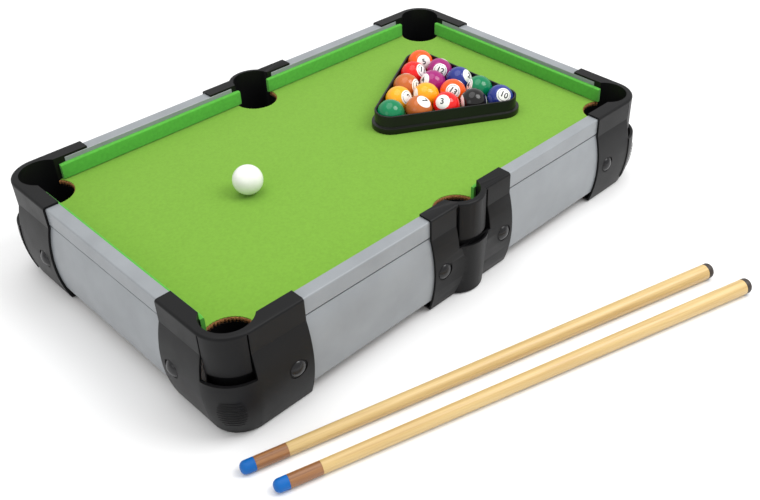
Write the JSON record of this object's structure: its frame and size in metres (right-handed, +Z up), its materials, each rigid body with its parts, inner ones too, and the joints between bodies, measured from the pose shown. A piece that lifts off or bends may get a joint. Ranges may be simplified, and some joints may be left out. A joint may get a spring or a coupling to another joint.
{
  "type": "mini pool table",
  "caption": "Tabletop pool table: grey rails, black corner castings, a green felt bed with pockets, racked balls, a triangular rack and cues.",
  "frame": {"origin": "on the floor, under the centre of the bed", "axes": "+X along the table's length, towards the racked balls; +Y across the table, away from the side where the cues lie; +Z up"},
  "size_m": [0.5338, 0.5194, 0.1044],
  "materials": {
    "hardboard": "rough brown fibreboard",
    "felt": "short lime green felt",
    "grey_rail": "satin mid grey moulding",
    "cushion_cloth": "green cloth over a strip",
    "black_plastic": "fine textured black moulding",
    "bolt_black": "satin black domed head",
    "zinc_steel": "zinc plated",
    "batten_wood": "planed softwood",
    "foot_rubber": "black rubber",
    "rack_black": "satin black moulding",
    "ball_white": "polished",
    "ball_yellow": "polished",
    "ball_blue": "polished",
    "ball_red": "polished",
    "ball_purple": "polished",
    "ball_orange": "polished",
    "ball_green": "polished",
    "ball_brown": "polished",
    "ball_black": "polished",
    "tip_blue": "blue rubber tip",
    "ferrule_wood": "brown stained wood",
    "shaft_wood": "lacquered pale wood",
    "cap_black": "dark butt cap"
  },
  "bodies": {
    "table": {"bed_board": "hardboard", "bed_felt": "felt", "front_left_rail": "grey_rail", "front_right_rail": "grey_rail", "rear_left_rail": "grey_rail", "rear_right_rail": "grey_rail", "left_end_rail": "grey_rail", "right_end_rail": "grey_rail", "front_left_cushion": "cushion_cloth", "front_right_cushion": "cushion_cloth", "rear_left_cushion": "cushion_cloth", "rear_right_cushion": "cushion_cloth", "left_end_cushion": "cushion_cloth", "right_end_cushion": "cushion_cloth", "front_left_corner": "black_plastic", "front_right_corner": "black_plastic", "rear_left_corner": "black_plastic", "rear_right_corner": "black_plastic", "front_side_casting": "black_plastic", "rear_side_casting": "black_plastic", "casting_bolts": "bolt_black", "bolt_nuts": "zinc_steel", "long_battens": "batten_wood", "end_battens": "batten_wood", "cross_braces": "batten_wood", "bed_screws": "zinc_steel", "rubber_feet": "foot_rubber"},
    "rack": {"rack": "rack_black"},
    "cue_ball": {"cue_ball": "ball_white"},
    "ball_1": {"ball_1": "ball_yellow"},
    "ball_2": {"ball_2": "ball_blue"},
    "ball_3": {"ball_3": "ball_red"},
    "ball_4": {"ball_4": "ball_purple"},
    "ball_5": {"ball_5": "ball_orange"},
    "ball_6": {"ball_6": "ball_green"},
    "ball_7": {"ball_7": "ball_brown"},
    "ball_8": {"ball_8": "ball_black"},
    "ball_9": {"ball_9": "ball_yellow"},
    "ball_10": {"ball_10": "ball_blue"},
    "ball_11": {"ball_11": "ball_red"},
    "ball_12": {"ball_12": "ball_purple"},
    "ball_13": {"ball_13": "ball_orange"},
    "ball_14": {"ball_14": "ball_green"},
    "ball_15": {"ball_15": "ball_brown"},
    "cue_1": {"cue_1_shaft": "shaft_wood", "cue_1_ferrule": "ferrule_wood", "cue_1_tip": "tip_blue", "cue_1_butt_cap": "cap_black"},
    "cue_2": {"cue_2_shaft": "shaft_wood", "cue_2_ferrule": "ferrule_wood", "cue_2_tip": "tip_blue", "cue_2_butt_cap": "cap_black"}
  },
  "joints": [
    {"name": "rack_lift", "type": "slide", "parent": "table", "child": "rack", "axis": [0, 0, 1], "range_m": [0, 0.06]},
    {"name": "ball_1_lift", "type": "slide", "parent": "table", "child": "ball_1", "axis": [0, 0, 1], "range_m": [0, 0.06]},
    {"name": "ball_2_lift", "type": "slide", "parent": "table", "child": "ball_2", "axis": [0, 0, 1], "range_m": [0, 0.06]},
    {"name": "ball_3_lift", "type": "slide", "parent": "table", "child": "ball_3", "axis": [0, 0, 1], "range_m": [0, 0.06]},
    {"name": "ball_4_lift", "type": "slide", "parent": "table", "child": "ball_4", "axis": [0, 0, 1], "range_m": [0, 0.06]},
    {"name": "ball_5_lift", "type": "slide", "parent": "table", "child": "ball_5", "axis": [0, 0, 1], "range_m": [0, 0.06]},
    {"name": "ball_6_lift", "type": "slide", "parent": "table", "child": "ball_6", "axis": [0, 0, 1], "range_m": [0, 0.06]},
    {"name": "ball_7_lift", "type": "slide", "parent": "table", "child": "ball_7", "axis": [0, 0, 1], "range_m": [0, 0.06]},
    {"name": "ball_8_lift", "type": "slide", "parent": "table", "child": "ball_8", "axis": [0, 0, 1], "range_m": [0, 0.06]},
    {"name": "ball_9_lift", "type": "slide", "parent": "table", "child": "ball_9", "axis": [0, 0, 1], "range_m": [0, 0.06]},
    {"name": "ball_10_lift", "type": "slide", "parent": "table", "child": "ball_10", "axis": [0, 0, 1], "range_m": [0, 0.06]},
    {"name": "ball_11_lift", "type": "slide", "parent": "table", "child": "ball_11", "axis": [0, 0, 1], "range_m": [0, 0.06]},
    {"name": "ball_12_lift", "type": "slide", "parent": "table", "child": "ball_12", "axis": [0, 0, 1], "range_m": [0, 0.06]},
    {"name": "ball_13_lift", "type": "slide", "parent": "table", "child": "ball_13", "axis": [0, 0, 1], "range_m": [0, 0.06]},
    {"name": "ball_14_lift", "type": "slide", "parent": "table", "child": "ball_14", "axis": [0, 0, 1], "range_m": [0, 0.06]},
    {"name": "ball_15_lift", "type": "slide", "parent": "table", "child": "ball_15", "axis": [0, 0, 1], "range_m": [0, 0.06]},
    {"name": "cue_ball_roll", "type": "slide", "parent": "table", "child": "cue_ball", "axis": [1, 0, 0], "range_m": [-0.115, 0.133]},
    {"name": "cue_1_lift", "type": "slide", "parent": "table", "child": "cue_1", "axis": [0, 0, 1], "range_m": [0, 0.06]},
    {"name": "cue_2_lift", "type": "slide", "parent": "table", "child": "cue_2", "axis": [0, 0, 1], "range_m": [0, 0.06]}
  ]
}
